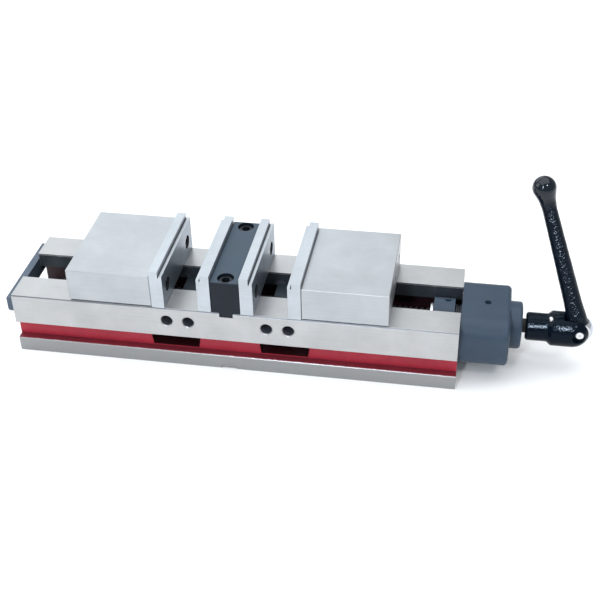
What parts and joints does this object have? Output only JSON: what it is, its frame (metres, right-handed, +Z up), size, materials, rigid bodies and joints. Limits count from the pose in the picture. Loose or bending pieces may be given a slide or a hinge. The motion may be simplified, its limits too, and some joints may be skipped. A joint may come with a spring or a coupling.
{
  "type": "machine vise",
  "caption": "Double-station machine vise: a fixed centre jaw between two sliding jaws that one opposed-thread screw closes together, with a folding crank handle.",
  "frame": {"origin": "middle of the bed's ground underside, below the centre jaw's key", "axes": "+X along the screw toward the crank, +Y across the jaws to the back, +Z up from the table"},
  "size_m": [0.5291, 0.1016, 0.1912],
  "materials": {
    "ground_iron": "surface ground, groove painted red",
    "ground_steel": "surface ground",
    "hardened_steel": "hardened and fine ground",
    "black_oxide": "black oxide",
    "slate_enamel": "satin slate enamel",
    "black_enamel": "glossy black enamel over a rough casting",
    "bright_steel": "turned bright",
    "bronze": "turned bronze"
  },
  "bodies": {
    "base": {"bed": "ground_iron", "end_plate": "slate_enamel", "end_plate_screw_front": "black_oxide", "end_plate_screw_back": "black_oxide", "centre_jaw": "black_oxide", "centre_screw_front": "black_oxide", "centre_screw_back": "black_oxide", "centre_plate_left": "hardened_steel", "centre_plate_left_screw_front": "black_oxide", "centre_plate_left_screw_back": "black_oxide", "centre_plate_right": "hardened_steel", "centre_plate_right_screw_front": "black_oxide", "centre_plate_right_screw_back": "black_oxide", "bearing_housing": "slate_enamel", "bush": "bronze", "retaining_screw": "black_oxide", "housing_screw_top_back": "black_oxide", "housing_screw_top_front": "black_oxide", "housing_screw_low_back": "black_oxide", "housing_screw_low_front": "black_oxide", "bearing_race_outer": "bright_steel", "steady_left": "slate_enamel", "steady_screw_left": "black_oxide", "steady_right": "slate_enamel", "steady_screw_right": "black_oxide"},
    "jaw_left": {"jaw_left": "ground_steel", "jaw_plate_left": "hardened_steel", "jaw_plate_left_screw_front": "black_oxide", "jaw_plate_left_screw_back": "black_oxide", "nut_left": "ground_iron", "lock_segment_left": "bright_steel", "adjusting_screw_left": "black_oxide"},
    "jaw_right": {"jaw_right": "ground_steel", "jaw_plate_right": "hardened_steel", "jaw_plate_right_screw_front": "black_oxide", "jaw_plate_right_screw_back": "black_oxide", "nut_right": "ground_iron", "lock_segment_right": "bright_steel", "adjusting_screw_right": "black_oxide"},
    "screw": {"screw": "black_oxide", "thrust_washer": "bright_steel", "thrust_collar": "slate_enamel", "collar_set_screw": "black_oxide", "bearing_race_inner": "bright_steel", "bearing_cage": "bright_steel"},
    "socket": {"handle_socket": "black_enamel", "detent_ball": "bright_steel", "handle_pin": "bright_steel"},
    "arm": {"handle_arm": "black_enamel"}
  },
  "joints": [
    {"name": "screw_turn", "type": "hinge", "parent": "base", "child": "screw", "pos_m": [0, 0, 0.0394], "axis": [-1, 0, 0], "range_deg": [-3240, 2181.6]},
    {"name": "slide_left", "type": "slide", "parent": "base", "child": "jaw_left", "axis": [1, 0, 0], "range_m": [-0.0451, 0.0304]},
    {"name": "slide_right", "type": "slide", "parent": "base", "child": "jaw_right", "axis": [-1, 0, 0], "range_m": [-0.0451, 0.0304]},
    {"name": "socket_pull", "type": "slide", "parent": "screw", "child": "socket", "axis": [1, 0, 0], "range_m": [0, 0.0185]},
    {"name": "handle_fold", "type": "hinge", "parent": "socket", "child": "arm", "pos_m": [0.3093, 0, 0.041], "axis": [0, 1, 0], "range_deg": [0, 107.5]}
  ],
  "couplings": [
    {"joint": "slide_left", "follows": "screw_turn", "m_per_rad": 0.00079577},
    {"joint": "slide_right", "follows": "screw_turn", "m_per_rad": 0.00079577}
  ]
}
